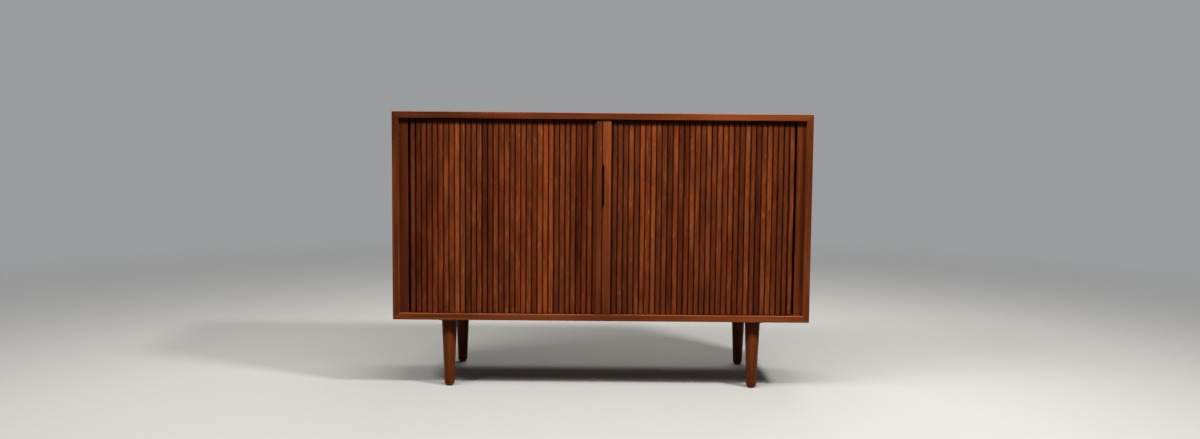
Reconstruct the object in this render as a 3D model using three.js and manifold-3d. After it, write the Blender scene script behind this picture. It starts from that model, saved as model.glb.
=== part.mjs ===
// Tambour door cabinet: a low walnut case on four turned legs.
// Two slatted doors slide in a track round the inside of the case.
// Units are millimetres, +Z is up, the front faces -Y, and the origin is on the
// floor under the middle of the case.

import * as THREE from "three";
import * as BufferGeometryUtils from "three/addons/utils/BufferGeometryUtils.js";
import Module from "manifold-3d";

const wasm = await Module();
wasm.setup();

// Case
const CASE_WIDTH = 1168;
const CASE_DEPTH = 406;
const CASE_HEIGHT = 582;
const LEG_HEIGHT = 194;
const BOARD = 18;
const ARRIS = 1.2;
const ARRIS_STEPS = 3;
const CORNER_ROUNDING = 2.4;
const SEAT_GAP = 0.3;
const OVERRUN = 6;

// Back panel and the rabbet that holds it
const BACK_THICKNESS = 6;
const BACK_SETBACK = 3;
const RABBET_INTO_BOARD = 8;
const BACK_PLAY = 0.7;
const BACK_CORNER = 1.5;
const BACK_CORNER_STEPS = 2;

// Track that both doors slide in
const TRACK_RECESS = 14.5;
const TRACK_REAR_MARGIN = 20;
const TRACK_SIDE_MARGIN = 7.5;
const TRACK_RADIUS = 40;
const TRACK_SLACK = 1;
const TRACK_DEPTH_TOP = 9;
const TRACK_DEPTH_BOTTOM = 7;
const TRACK_REAR_RUN = 135;
const TRACK_ARC_STEPS = 9;

// Slats of the doors
const SECTIONS_PER_DOOR = 11;
const SLAT_PITCH = 15.4;
const SLAT_GAP = 0.4;
const SLAT_PROUD = 5;
const SLAT_BEHIND = 4;
const SLAT_ROUNDING = 4.2;
const SLAT_ROUNDING_STEPS = 3;
const SLAT_CROWN = 0.3;
const SLAT_CLEARANCE = 1;
const TONGUE_THICKNESS = 6;
const TONGUE_TOP_PLAY = 2;
const CANVAS_THICKNESS = 0.8;
const CANVAS_GLUE_LINE = 0.2;
const CANVAS_END_MARGIN = 4;

// Lead stiles, the solid front edge of each door
const MEETING_GAP = 1;
const LEAD_PROUD = 10.7;
const LEAD_WIDTH = 23.5;
const LEAD_LIP_WIDTH = 3;
const LEAD_LIP_PROUD = -1;
const LEAD_EASING = 1.5;
const LEAD_CLEARANCE = 2;
const LEAD_TONGUE_WIDTH = 7;
const LEAD_TONGUE_INSET = 1.5;
const LEFT_LEAD_PROUD_WIDTH = 17;

// Finger pull, scooped out of the right lead stile
const PULL_LENGTH = 128;
const PULL_DEPTH = 4.8;
const PULL_END_RADIUS = 20;
const PULL_ABOVE_CASE_BOTTOM = 379;
const PULL_ARC_STEPS = 6;

// Corner posts that hide the turn of the track
const POST_RECESS = 11;
const POST_WIDTH = 24.6;
const POST_DEPTH = 30;
const POST_COVE_CLEARANCE = 1.4;
const POST_COVE_STEPS = 8;
const POST_EASING = 1;

// Lining that keeps what is stored away from the doors
const LINER_THICKNESS = 10;
const LINER_TRACK_GAP = 8.5;
const LINER_FRONT_RECESS = 46;
const INNER_BACK_THICKNESS = 9;
const INNER_BACK_RECESS = 349;
const DIVIDER_THICKNESS = 18;
const DIVIDER_RECESS = 26;
const UPRIGHT_ROUNDING = 2.5;
const UPRIGHT_ROUNDING_STEPS = 3;

// Shelves and the pins that carry them
const SHELF_THICKNESS = 15;
const SHELF_RECESS = 40;
const SHELF_PLAY = 1;
const SHELF_BACK_PLAY = 4;
const SHELF_NOSE = 5;
const SHELF_NOSE_STEPS = 4;
const SHELF_ROW = 2;
const PIN_RADIUS = 2.5;
const PIN_IN_WALL = 7;
const PIN_OUT_OF_WALL = 9;
const PIN_NOSE = 1;
const PIN_SIDES = 8;
const PIN_HOLE_SIDES = 8;
const PIN_PLAY = 0.5;
const PIN_HOLE_BOTTOM = 0.6;
const PIN_ROW_START = 202;
const PIN_ROW_PITCH = 32;
const PIN_ROWS = 5;
const PIN_FRONT_RECESS = 85;
const PIN_REAR_RECESS = 305;

// Legs, their mounting plates and glides
const LEG_SPREAD = 860;
const LEG_INSET = 40;
const LEG_TOP_RADIUS = 21.5;
const LEG_FOOT_RADIUS = 14;
const LEG_EDGE = 1.4;
const LEG_SIDES = 28;
const PLATE_SIZE = 56;
const PLATE_CORNER = 8;
const PLATE_CORNER_STEPS = 3;
const PLATE_THICKNESS = 3;
const PLATE_SCREW_RADIUS = 2.2;
const PLATE_SCREW_INSET = 9;
const PLATE_SCREW_SIDES = 8;
const STUD_RADIUS = 4;
const STUD_LENGTH = 30;
const STUD_CHAMFER = 1;
const STUD_SIDES = 12;
const STUD_PLAY = 0.4;
const GLIDE_HEIGHT = 4;
const GLIDE_RADIUS = 10.5;
const GLIDE_EDGE = 1.5;
const GLIDE_SIDES = 18;
const GLIDE_NAIL_RADIUS = 1.3;
const GLIDE_NAIL_LENGTH = 14;
const GLIDE_NAIL_PLAY = 0.4;

// Places worked out from the sizes above
const CASE_BOTTOM = LEG_HEIGHT;
const CASE_TOP = LEG_HEIGHT + CASE_HEIGHT;
const INSIDE_BOTTOM = CASE_BOTTOM + BOARD;
const INSIDE_TOP = CASE_TOP - BOARD;
const INSIDE_X = CASE_WIDTH / 2 - BOARD;
const FRONT_Y = -CASE_DEPTH / 2;
const TRACK_WIDTH = TONGUE_THICKNESS + 2 * TRACK_SLACK;
const TRACK_SIDE_X = INSIDE_X - TRACK_SIDE_MARGIN;
const TRACK_ARC_X = TRACK_SIDE_X - TRACK_RADIUS;
const TRACK_FRONT_Y = fromFront(TRACK_RECESS);
const TRACK_REAR_Y = fromFront(CASE_DEPTH - TRACK_REAR_MARGIN);
const LINER_OUTER_X = TRACK_SIDE_X - LINER_TRACK_GAP;
const LINER_INNER_X = LINER_OUTER_X - LINER_THICKNESS;
const LINING_REAR_Y = fromFront(INNER_BACK_RECESS) - SEAT_GAP;
const POST_OUTER_X = INSIDE_X - SEAT_GAP;
const POST_INNER_X = POST_OUTER_X - POST_WIDTH;
const LEAD_INNER_X = MEETING_GAP / 2;
const LEAD_OUTER_X = LEAD_INNER_X + LEAD_WIDTH;
const FIRST_SLAT_X = LEAD_OUTER_X + LEAD_LIP_WIDTH;
const SLATS_PER_DOOR = Math.floor((POST_INNER_X - FIRST_SLAT_X) / SLAT_PITCH);
const SHELF_PIN_Z = INSIDE_BOTTOM + PIN_ROW_START + SHELF_ROW * PIN_ROW_PITCH;

// Materials
const walnutCase = wood(0x70371a, 0.42);
const walnutSlats = wood(0x662e14, 0.5);
const walnutLeads = wood(0x733a1d, 0.42);
const walnutLegs = wood(0x6b3418, 0.4);
const walnutInside = wood(0x7c4c2a, 0.55);
const plywoodBack = wood(0xa9835a, 0.7);
const blackSteel = metal(0x26221f, 0.5);
const brass = metal(0xb08d4a, 0.3);
const darkPlastic = new THREE.MeshStandardMaterial({ color: 0x17120f, roughness: 0.5, metalness: 0 });

function wood(color, roughness) {
  return new THREE.MeshStandardMaterial({ color, roughness, metalness: 0 });
}

function metal(color, roughness) {
  return new THREE.MeshStandardMaterial({ color, roughness, metalness: 1 });
}

function fromFront(recess) {
  return FRONT_Y + recess;
}

// Closed geometry to a solid that can be joined and cut, and back.

function toSolid(geometry) {
  const bare = geometry.clone();
  bare.deleteAttribute("normal");
  bare.deleteAttribute("uv");
  const merged = BufferGeometryUtils.mergeVertices(bare);
  const vertProperties = new Float32Array(merged.attributes.position.array);
  const triVerts = new Uint32Array(merged.index.array);
  return new wasm.Manifold(new wasm.Mesh({ numProp: 3, vertProperties, triVerts }));
}

function toGeometry(solid) {
  const mesh = solid.getMesh();
  const geometry = new THREE.BufferGeometry();
  geometry.setAttribute("position", new THREE.BufferAttribute(new Float32Array(mesh.vertProperties), 3));
  geometry.setIndex(new THREE.BufferAttribute(new Uint32Array(mesh.triVerts), 1));
  geometry.computeVertexNormals();
  return geometry;
}

function joined(solids) {
  return solids.reduce((whole, solid) => whole.add(solid));
}

function cut(stock, tools) {
  return tools.reduce((rest, tool) => rest.subtract(tool), stock);
}

function mirroredX(geometry) {
  const mirrored = geometry.clone().applyMatrix4(new THREE.Matrix4().makeScale(-1, 1, 1));
  const index = mirrored.index.array;
  for (let i = 0; i < index.length; i += 3) {
    const kept = index[i];
    index[i] = index[i + 1];
    index[i + 1] = kept;
  }
  mirrored.computeVertexNormals();
  return mirrored;
}

// Extrusions: an outline of [a, b] points swept along one axis.

function outline(points) {
  return new THREE.Shape(points.map(([a, b]) => new THREE.Vector2(a, b)));
}

function sweepZ(shape, low, high) {
  const geometry = new THREE.ExtrudeGeometry(shape, { depth: high - low, bevelEnabled: false });
  return geometry.translate(0, 0, low);
}

// The outline is drawn in Y and Z.
function sweepX(shape, low, high) {
  const turn = new THREE.Matrix4().makeBasis(
    new THREE.Vector3(0, 1, 0), new THREE.Vector3(0, 0, 1), new THREE.Vector3(1, 0, 0));
  return sweepZ(shape, low, high).applyMatrix4(turn);
}

// The outline is drawn in X and Z.
function sweepY(shape, low, high) {
  const turn = new THREE.Matrix4().makeBasis(
    new THREE.Vector3(1, 0, 0), new THREE.Vector3(0, 0, 1), new THREE.Vector3(0, -1, 0));
  return sweepZ(shape, -high, -low).applyMatrix4(turn);
}

function block(x, y, z) {
  const geometry = new THREE.BoxGeometry(x[1] - x[0], y[1] - y[0], z[1] - z[0]);
  return geometry.translate((x[0] + x[1]) / 2, (y[0] + y[1]) / 2, (z[0] + z[1]) / 2);
}

// A profile of [radius, height] points turned about Z.
function turned(profile, sides) {
  const points = profile.map(([radius, height]) => new THREE.Vector2(radius, height));
  return new THREE.LatheGeometry(points, sides).rotateX(Math.PI / 2);
}

function arcPoints(centre, radius, from, to, steps) {
  const points = [];
  for (let i = 0; i <= steps; i += 1) {
    const angle = from + (to - from) * i / steps;
    points.push([centre[0] + radius * Math.cos(angle), centre[1] + radius * Math.sin(angle)]);
  }
  return points;
}

// A rectangle whose four corners are rounded.
function roundedRectangle(a, b, radius, steps) {
  const quarter = Math.PI / 2;
  return [
    ...arcPoints([a[1] - radius, b[0] + radius], radius, -quarter, 0, steps),
    ...arcPoints([a[1] - radius, b[1] - radius], radius, 0, quarter, steps),
    ...arcPoints([a[0] + radius, b[1] - radius], radius, quarter, 2 * quarter, steps),
    ...arcPoints([a[0] + radius, b[0] + radius], radius, 2 * quarter, 3 * quarter, steps),
  ];
}

// The track, drawn for the right door. It starts at the middle of the front,
// turns the front corner, runs back along the side and turns the rear corner.
// A distance along it gives a place, its direction and its outward normal.

const ARC_LENGTH = TRACK_RADIUS * Math.PI / 2;
const SIDE_RUN = TRACK_REAR_Y - TRACK_FRONT_Y - 2 * TRACK_RADIUS;

function onTrack(distance) {
  const beyondFront = distance - TRACK_ARC_X;
  if (beyondFront <= 0) {
    return placeOnTrack([distance, TRACK_FRONT_Y], 0);
  }
  if (beyondFront < ARC_LENGTH) {
    return onTrackArc(TRACK_FRONT_Y + TRACK_RADIUS, beyondFront / TRACK_RADIUS);
  }
  const beyondArc = beyondFront - ARC_LENGTH;
  if (beyondArc <= SIDE_RUN) {
    return placeOnTrack([TRACK_SIDE_X, TRACK_FRONT_Y + TRACK_RADIUS + beyondArc], Math.PI / 2);
  }
  const beyondSide = beyondArc - SIDE_RUN;
  if (beyondSide < ARC_LENGTH) {
    return onTrackArc(TRACK_REAR_Y - TRACK_RADIUS, Math.PI / 2 + beyondSide / TRACK_RADIUS);
  }
  return placeOnTrack([TRACK_ARC_X - (beyondSide - ARC_LENGTH), TRACK_REAR_Y], Math.PI);
}

function onTrackArc(centreY, angle) {
  const x = TRACK_ARC_X + TRACK_RADIUS * Math.sin(angle);
  return placeOnTrack([x, centreY - TRACK_RADIUS * Math.cos(angle)], angle);
}

function placeOnTrack(at, angle) {
  return { at, along: [Math.cos(angle), Math.sin(angle)], out: [Math.sin(angle), -Math.cos(angle)] };
}

// A point that lies a way along and a way out from a place on the track.
function besideTrack(place, along, out) {
  return [
    place.at[0] + along * place.along[0] + out * place.out[0],
    place.at[1] + along * place.along[1] + out * place.out[1],
  ];
}

// The groove's outline: one band from rear run to rear run, through both doors.
function trackOutline() {
  const half = [];
  const add = (distance) => half.push(onTrack(distance));
  for (let i = 0; i <= TRACK_ARC_STEPS; i += 1) {
    add(TRACK_ARC_X + ARC_LENGTH * i / TRACK_ARC_STEPS);
  }
  for (let i = 0; i <= TRACK_ARC_STEPS; i += 1) {
    add(TRACK_ARC_X + ARC_LENGTH + SIDE_RUN + ARC_LENGTH * i / TRACK_ARC_STEPS);
  }
  add(TRACK_ARC_X + 2 * ARC_LENGTH + SIDE_RUN + TRACK_REAR_RUN);
  const outer = half.map((place) => besideTrack(place, 0, TRACK_WIDTH / 2));
  const inner = half.map((place) => besideTrack(place, 0, -TRACK_WIDTH / 2));
  const mirrored = (points) => points.map(([x, y]) => [-x, y]);
  return [
    ...mirrored(outer).reverse(),
    ...outer,
    ...inner.reverse(),
    ...mirrored(inner).reverse(),
  ];
}

// The case: one eased ring of boards, parted at its four mitres.

function caseRing() {
  const outer = roundedRectangle(
    [-CASE_WIDTH / 2, CASE_WIDTH / 2], [CASE_BOTTOM, CASE_TOP], CORNER_ROUNDING, ARRIS_STEPS);
  const ring = outline(outer);
  ring.holes.push(outline([
    [-INSIDE_X, INSIDE_BOTTOM], [-INSIDE_X, INSIDE_TOP], [INSIDE_X, INSIDE_TOP], [INSIDE_X, INSIDE_BOTTOM],
  ]));
  const geometry = new THREE.ExtrudeGeometry(ring, {
    depth: CASE_DEPTH - 2 * ARRIS,
    bevelEnabled: true,
    bevelThickness: ARRIS,
    bevelSize: ARRIS,
    bevelOffset: -ARRIS,
    bevelSegments: ARRIS_STEPS,
  });
  const turn = new THREE.Matrix4().makeBasis(
    new THREE.Vector3(1, 0, 0), new THREE.Vector3(0, 0, 1), new THREE.Vector3(0, -1, 0));
  geometry.applyMatrix4(turn).translate(0, CASE_DEPTH / 2 - ARRIS, 0);
  const rabbetX = INSIDE_X + RABBET_INTO_BOARD;
  const rabbet = block(
    [-rabbetX, rabbetX],
    [backPanelFront() - SEAT_GAP, CASE_DEPTH / 2 + OVERRUN],
    [INSIDE_BOTTOM - RABBET_INTO_BOARD, INSIDE_TOP + RABBET_INTO_BOARD]);
  return toSolid(geometry).subtract(toSolid(rabbet));
}

function backPanelFront() {
  return CASE_DEPTH / 2 - BACK_SETBACK - BACK_THICKNESS;
}

// Everything within the mitres of the top, or of the bottom mirrored.
function mitreOutlineHorizontal(faceZ, inward) {
  const slip = SEAT_GAP / Math.SQRT2;
  const outerX = CASE_WIDTH / 2 + OVERRUN - slip;
  const innerX = INSIDE_X - OVERRUN - slip;
  const outerZ = faceZ - inward * OVERRUN;
  const innerZ = faceZ + inward * (BOARD + OVERRUN);
  return outline([[-outerX, outerZ], [outerX, outerZ], [innerX, innerZ], [-innerX, innerZ]]);
}

function mitreOutlineRight() {
  const slip = SEAT_GAP / Math.SQRT2;
  const outerX = CASE_WIDTH / 2 + OVERRUN;
  const innerX = INSIDE_X - OVERRUN;
  return outline([
    [outerX, CASE_BOTTOM - OVERRUN + slip], [outerX, CASE_TOP + OVERRUN - slip],
    [innerX, INSIDE_TOP - OVERRUN - slip], [innerX, INSIDE_BOTTOM + OVERRUN + slip],
  ]);
}

function ringPart(ring, mitreOutline) {
  const reach = CASE_DEPTH / 2 + OVERRUN;
  return ring.intersect(toSolid(sweepY(mitreOutline, -reach, reach)));
}

function trackGroove(low, high) {
  return toSolid(sweepZ(outline(trackOutline()), low, high));
}

function topPanel(ring) {
  const board = ringPart(ring, mitreOutlineHorizontal(CASE_TOP, -1));
  return board.subtract(trackGroove(INSIDE_TOP - OVERRUN, INSIDE_TOP + TRACK_DEPTH_TOP));
}

function bottomPanel(ring) {
  const board = ringPart(ring, mitreOutlineHorizontal(CASE_BOTTOM, 1));
  return board.subtract(trackGroove(INSIDE_BOTTOM - TRACK_DEPTH_BOTTOM, INSIDE_BOTTOM + OVERRUN));
}

function backPanel() {
  const halfX = INSIDE_X + RABBET_INTO_BOARD - BACK_PLAY;
  const lowZ = INSIDE_BOTTOM - RABBET_INTO_BOARD + BACK_PLAY;
  const highZ = INSIDE_TOP + RABBET_INTO_BOARD - BACK_PLAY;
  const corners = roundedRectangle([-halfX, halfX], [lowZ, highZ], BACK_CORNER, BACK_CORNER_STEPS);
  const sheet = outline(corners);
  return sweepY(sheet, backPanelFront(), backPanelFront() + BACK_THICKNESS);
}

// The right corner post. Its back is hollowed to follow the turning door.
function cornerPost() {
  const centre = [TRACK_ARC_X, TRACK_FRONT_Y + TRACK_RADIUS];
  const slatCorner = Math.hypot(TRACK_RADIUS + SLAT_PROUD, SLAT_PITCH / 2 - SLAT_ROUNDING);
  const radius = slatCorner + POST_COVE_CLEARANCE;
  const frontY = fromFront(POST_RECESS);
  const rearY = frontY + POST_DEPTH;
  const rearAngle = Math.asin((rearY - centre[1]) / radius);
  const edgeAngle = -Math.acos((POST_INNER_X - centre[0]) / radius);
  return sweepZ(outline([
    [POST_OUTER_X, rearY],
    ...arcPoints(centre, radius, rearAngle, edgeAngle, POST_COVE_STEPS),
    [POST_INNER_X, frontY + POST_EASING],
    [POST_INNER_X + POST_EASING, frontY],
    [POST_OUTER_X, frontY],
  ]), INSIDE_BOTTOM + SEAT_GAP, INSIDE_TOP - SEAT_GAP);
}

// Holes for the shelf pins, in two upright rows, in a wall whose face is at x.
// The wall lies on the side that toWall points to.
function pinHoles(faceX, toWall) {
  const radius = PIN_RADIUS + PIN_PLAY;
  const depth = PIN_IN_WALL + PIN_HOLE_BOTTOM;
  const holes = [];
  for (const recess of [PIN_FRONT_RECESS, PIN_REAR_RECESS]) {
    for (let row = 0; row < PIN_ROWS; row += 1) {
      const drill = new THREE.CylinderGeometry(radius, radius, depth + OVERRUN, PIN_HOLE_SIDES);
      drill.rotateZ(Math.PI / 2);
      drill.translate(
        faceX + toWall * (depth - OVERRUN) / 2,
        fromFront(recess),
        INSIDE_BOTTOM + PIN_ROW_START + row * PIN_ROW_PITCH);
      holes.push(toSolid(drill));
    }
  }
  return holes;
}

// An upright board seen from above, with its front edge rounded over.
function uprightBoard(x, frontY, rearY) {
  const quarter = Math.PI / 2;
  const radius = UPRIGHT_ROUNDING;
  const steps = UPRIGHT_ROUNDING_STEPS;
  const points = [
    [x[0], rearY],
    ...arcPoints([x[0] + radius, frontY + radius], radius, 2 * quarter, 3 * quarter, steps),
    ...arcPoints([x[1] - radius, frontY + radius], radius, 3 * quarter, 4 * quarter, steps),
    [x[1], rearY],
  ];
  return sweepZ(outline(points), INSIDE_BOTTOM + SEAT_GAP, INSIDE_TOP - SEAT_GAP);
}

function rightLiner() {
  const board = uprightBoard([LINER_INNER_X, LINER_OUTER_X], fromFront(LINER_FRONT_RECESS), LINING_REAR_Y);
  return cut(toSolid(board), pinHoles(LINER_INNER_X, 1));
}

function centreDivider() {
  const half = DIVIDER_THICKNESS / 2;
  const board = uprightBoard([-half, half], fromFront(DIVIDER_RECESS), LINING_REAR_Y);
  return cut(toSolid(board), pinHolesBothSides(half));
}

// The rows on the two faces lie opposite each other, with solid board between.
function pinHolesBothSides(half) {
  return [...pinHoles(half, -1), ...pinHoles(-half, 1)];
}

function innerBack() {
  const halfX = LINER_OUTER_X - SEAT_GAP;
  const z = [INSIDE_BOTTOM + SEAT_GAP, INSIDE_TOP - SEAT_GAP];
  const sheet = outline(roundedRectangle([-halfX, halfX], z, BACK_CORNER, BACK_CORNER_STEPS));
  return sweepY(sheet, fromFront(INNER_BACK_RECESS), fromFront(INNER_BACK_RECESS + INNER_BACK_THICKNESS));
}

// The right shelf, with a rounded nose along its front.
function rightShelf() {
  const low = SHELF_PIN_Z + PIN_RADIUS + SEAT_GAP;
  const high = low + SHELF_THICKNESS;
  const frontY = fromFront(SHELF_RECESS);
  const rearY = LINING_REAR_Y - SHELF_BACK_PLAY;
  const quarter = Math.PI / 2;
  const noseY = frontY + SHELF_NOSE;
  const steps = SHELF_NOSE_STEPS;
  const nose = [
    ...arcPoints([noseY, high - SHELF_NOSE], SHELF_NOSE, quarter, 2 * quarter, steps),
    ...arcPoints([noseY, low + SHELF_NOSE], SHELF_NOSE, 2 * quarter, 3 * quarter, steps),
  ];
  return sweepX(outline([...nose, [rearY, low], [rearY, high]]),
    DIVIDER_THICKNESS / 2 + SHELF_PLAY, LINER_INNER_X - SHELF_PLAY);
}

// A shelf pin along X, whose nose points away from the wall.
function shelfPin() {
  const length = PIN_IN_WALL + PIN_OUT_OF_WALL;
  return turned([
    [0, 0], [PIN_RADIUS - PIN_NOSE / 2, 0], [PIN_RADIUS, PIN_NOSE / 2],
    [PIN_RADIUS, length - PIN_NOSE], [PIN_RADIUS - PIN_NOSE, length], [0, length],
  ], PIN_SIDES).translate(0, 0, -PIN_IN_WALL);
}

// One slat's outline from above, about its place on the track: a rounded, slightly crowned face.
function slatOutline(place) {
  const half = (SLAT_PITCH - SLAT_GAP) / 2;
  const quarter = Math.PI / 2;
  const corner = [half - SLAT_ROUNDING, SLAT_PROUD - SLAT_ROUNDING];
  const rounded = arcPoints(corner, SLAT_ROUNDING, 0, quarter, SLAT_ROUNDING_STEPS);
  const mirrored = rounded.map(([along, out]) => [-along, out]).reverse();
  const crown = [0, SLAT_PROUD + SLAT_CROWN];
  const local = [[-half, -SLAT_BEHIND], [half, -SLAT_BEHIND], ...rounded, crown, ...mirrored];
  return outline(local.map(([along, out]) => besideTrack(place, along, out)));
}

function barOutline(place, along, out) {
  return outline([
    besideTrack(place, along[0], out[0]), besideTrack(place, along[1], out[0]),
    besideTrack(place, along[1], out[1]), besideTrack(place, along[0], out[1]),
  ]);
}

function tongueLow() {
  return INSIDE_BOTTOM - TRACK_DEPTH_BOTTOM + SEAT_GAP;
}

function tongueHigh() {
  return INSIDE_TOP + TRACK_DEPTH_TOP - TONGUE_TOP_PLAY;
}

// A section of the right door: a few slats, their tongues and the canvas behind.
function tambourSection(firstSlat, slats) {
  const half = (SLAT_PITCH - SLAT_GAP) / 2;
  const solids = [];
  for (let i = 0; i < slats; i += 1) {
    const place = onTrack(FIRST_SLAT_X + (firstSlat + i) * SLAT_PITCH + SLAT_PITCH / 2);
    const acrossGap = half + SLAT_GAP;
    const canvasLow = i === 0 ? -half : -acrossGap;
    const canvasHigh = i === slats - 1 ? half : acrossGap;
    const canvas = barOutline(
      place, [canvasLow, canvasHigh], [-SLAT_BEHIND - CANVAS_THICKNESS, -SLAT_BEHIND + CANVAS_GLUE_LINE]);
    const tongue = barOutline(place, [-half, half], [-TONGUE_THICKNESS / 2, TONGUE_THICKNESS / 2]);
    const slatLow = INSIDE_BOTTOM + SLAT_CLEARANCE;
    solids.push(toSolid(sweepZ(slatOutline(place), slatLow, INSIDE_TOP - SLAT_CLEARANCE)));
    solids.push(toSolid(sweepZ(tongue, tongueLow(), tongueHigh())));
    solids.push(toSolid(sweepZ(canvas, INSIDE_BOTTOM + CANVAS_END_MARGIN, INSIDE_TOP - CANVAS_END_MARGIN)));
  }
  return joined(solids);
}

// A lead stile of the right door. Its face stands proud of the slats as far as
// proudX, steps back to the slats' level as far as stepX, and ends in a low lip
// that the canvas is glued to.
function leadStile(proudX) {
  const innerX = LEAD_INNER_X;
  const lipX = FIRST_SLAT_X - SLAT_GAP / 2;
  const at = (x, out) => [x, TRACK_FRONT_Y - out];
  const easing = LEAD_EASING;
  const corner = (x, out, toward) => [at(x, out - easing), at(x + toward * easing, out)];
  const points = [at(innerX, -SLAT_BEHIND), ...corner(innerX, LEAD_PROUD, 1)];
  points.push(...corner(proudX, LEAD_PROUD, -1).reverse());
  if (proudX < LEAD_OUTER_X) {
    points.push(at(proudX, SLAT_PROUD), ...corner(LEAD_OUTER_X, SLAT_PROUD, -1).reverse());
  }
  points.push(at(LEAD_OUTER_X, LEAD_LIP_PROUD), at(lipX, LEAD_LIP_PROUD), at(lipX, -SLAT_BEHIND));
  const body = sweepZ(outline(points), INSIDE_BOTTOM + LEAD_CLEARANCE, INSIDE_TOP - LEAD_CLEARANCE);
  const place = onTrack(innerX + LEAD_TONGUE_INSET);
  const tongue = barOutline(place, [0, LEAD_TONGUE_WIDTH], [-TONGUE_THICKNESS / 2, TONGUE_THICKNESS / 2]);
  return joined([toSolid(body), toSolid(sweepZ(tongue, tongueLow(), tongueHigh()))]);
}

// The scoop for the fingers, cut right through the stile's closing edge.
function fingerPull() {
  const bottomX = LEAD_INNER_X + PULL_DEPTH;
  const centreX = bottomX - PULL_END_RADIUS;
  const sweep = Math.acos((LEAD_INNER_X - centreX) / PULL_END_RADIUS);
  const centreZ = CASE_BOTTOM + PULL_ABOVE_CASE_BOTTOM;
  const run = PULL_LENGTH / 2 - PULL_END_RADIUS * Math.sin(sweep);
  return toSolid(sweepY(outline([
    [LEAD_INNER_X - OVERRUN, centreZ - PULL_LENGTH / 2],
    ...arcPoints([centreX, centreZ - run], PULL_END_RADIUS, -sweep, 0, PULL_ARC_STEPS),
    ...arcPoints([centreX, centreZ + run], PULL_END_RADIUS, 0, sweep, PULL_ARC_STEPS),
    [LEAD_INNER_X - OVERRUN, centreZ + PULL_LENGTH / 2],
  ]), FRONT_Y, TRACK_FRONT_Y + TRACK_WIDTH));
}

// A tapered round leg, bored for the stud above and the glide's nail below.
function leg() {
  const low = GLIDE_HEIGHT + SEAT_GAP;
  const high = LEG_HEIGHT - SEAT_GAP - PLATE_THICKNESS - SEAT_GAP;
  const nailBore = GLIDE_NAIL_RADIUS + GLIDE_NAIL_PLAY;
  const studBore = STUD_RADIUS + STUD_PLAY;
  return turned([
    [0, low + GLIDE_NAIL_LENGTH], [nailBore, low + GLIDE_NAIL_LENGTH], [nailBore, low],
    [LEG_FOOT_RADIUS - LEG_EDGE, low], [LEG_FOOT_RADIUS, low + LEG_EDGE],
    [LEG_TOP_RADIUS, high - LEG_EDGE], [LEG_TOP_RADIUS - LEG_EDGE, high],
    [studBore, high], [studBore, high - STUD_LENGTH], [0, high - STUD_LENGTH],
  ], LEG_SIDES);
}

function legPlate() {
  const high = LEG_HEIGHT - SEAT_GAP;
  const low = high - PLATE_THICKNESS;
  const half = PLATE_SIZE / 2;
  const sheet = outline(roundedRectangle([-half, half], [-half, half], PLATE_CORNER, PLATE_CORNER_STEPS));
  const screw = half - PLATE_SCREW_INSET;
  for (const [x, y] of [[-screw, -screw], [screw, -screw], [screw, screw], [-screw, screw]]) {
    const hole = arcPoints([x, y], PLATE_SCREW_RADIUS, 0, 2 * Math.PI, PLATE_SCREW_SIDES);
    sheet.holes.push(outline(hole.slice(1)));
  }
  const stud = turned([
    [0, high - STUD_LENGTH],
    [STUD_RADIUS - STUD_CHAMFER, high - STUD_LENGTH],
    [STUD_RADIUS, high - STUD_LENGTH + STUD_CHAMFER],
    [STUD_RADIUS, high - STUD_CHAMFER],
    [0, high - STUD_CHAMFER],
  ], STUD_SIDES);
  return joined([toSolid(sweepZ(sheet, low, high)), toSolid(stud)]);
}

// A hard foot with the nail that holds it in the leg.
function glide() {
  const nailTop = GLIDE_HEIGHT + GLIDE_NAIL_LENGTH - SEAT_GAP;
  return turned([
    [0, 0], [GLIDE_RADIUS - GLIDE_EDGE, 0], [GLIDE_RADIUS, GLIDE_EDGE], [GLIDE_RADIUS, GLIDE_HEIGHT],
    [GLIDE_NAIL_RADIUS, GLIDE_HEIGHT], [GLIDE_NAIL_RADIUS, nailTop], [0, nailTop],
  ], GLIDE_SIDES);
}

// The assembly

const cabinet = new THREE.Group();

function place(parent, name, geometry, material, position = [0, 0, 0]) {
  const mesh = new THREE.Mesh(geometry, material);
  mesh.name = name;
  mesh.position.set(...position);
  parent.add(mesh);
  return mesh;
}

// A piece of the right side and its mirror image on the left.
function placePair(parent, name, geometry, material) {
  place(parent, `right_${name}`, geometry, material);
  place(parent, `left_${name}`, mirroredX(geometry), material);
}

function buildCase() {
  const ring = caseRing();
  const group = new THREE.Group();
  place(group, "top_panel", toGeometry(topPanel(ring)), walnutCase);
  place(group, "bottom_panel", toGeometry(bottomPanel(ring)), walnutCase);
  placePair(group, "side_panel", toGeometry(ringPart(ring, mitreOutlineRight())), walnutCase);
  placePair(group, "corner_post", toGeometry(toSolid(cornerPost())), walnutCase);
  place(group, "back_panel", backPanel(), plywoodBack);
  return group;
}

function buildInside() {
  const group = new THREE.Group();
  placePair(group, "inner_side", toGeometry(rightLiner()), walnutInside);
  place(group, "inner_back", innerBack(), walnutInside);
  place(group, "centre_divider", toGeometry(centreDivider()), walnutInside);
  placePair(group, "shelf", toGeometry(toSolid(rightShelf())), walnutInside);
  return group;
}

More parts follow.
